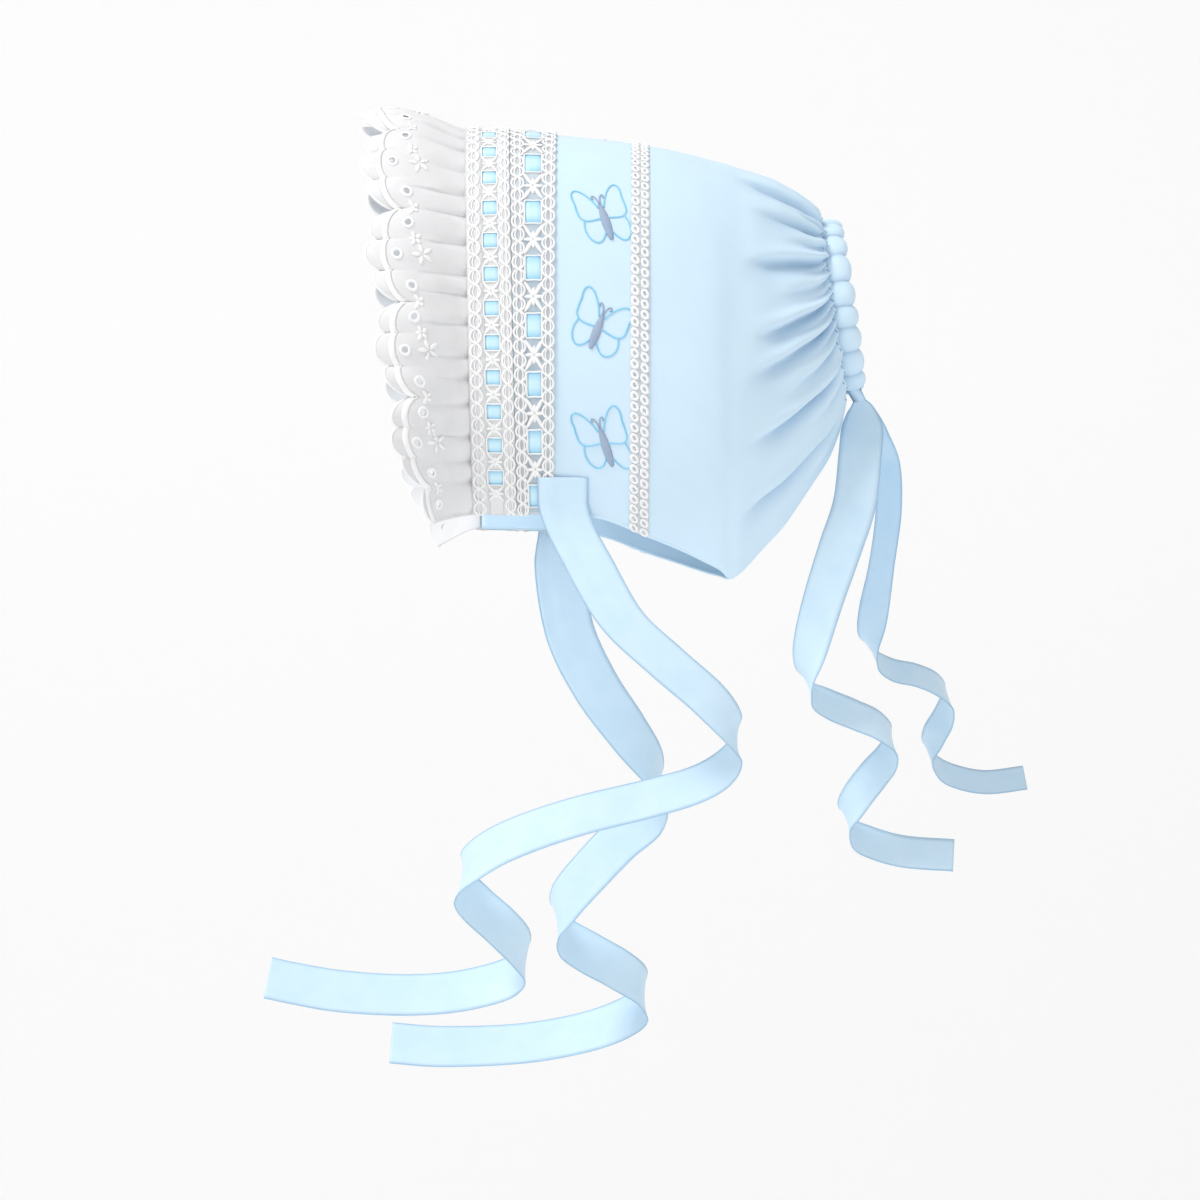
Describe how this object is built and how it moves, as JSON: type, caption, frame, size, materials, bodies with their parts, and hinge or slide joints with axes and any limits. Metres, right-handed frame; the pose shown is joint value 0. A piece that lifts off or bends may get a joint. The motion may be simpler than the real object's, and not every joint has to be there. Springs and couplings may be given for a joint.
{
  "type": "baby bonnet",
  "caption": "Gathered cotton baby bonnet with a scalloped eyelet ruffle, ribbon-threaded lace bands, front ties and a back drawstring with hanging ends.",
  "frame": {"origin": "inside of the top of the crown on the centre plane, where the bonnet rests on the head", "axes": "front of the bonnet to -Y, wearer's left to +X, up +Z"},
  "size_m": [0.1872, 0.299, 0.3683],
  "materials": {
    "blue_cotton": "pale blue plain-weave cotton",
    "blue_satin": "pale blue satin ribbon",
    "beading_satin": "sky blue satin ribbon",
    "white_eyelet": "white embroidered cotton",
    "white_lace": "white cotton lace"
  },
  "bodies": {
    "root": {"crown": "blue_cotton", "drawstring_casing": "blue_cotton", "drawstring": "blue_satin", "front_ruffle": "white_eyelet", "front_beading_lace": "white_lace", "front_beading_ribbon": "beading_satin", "second_beading_lace": "white_lace", "second_beading_ribbon": "beading_satin", "narrow_trim_lace": "white_lace", "tie_left": "blue_satin", "tie_right": "blue_satin"}
  },
  "joints": []
}
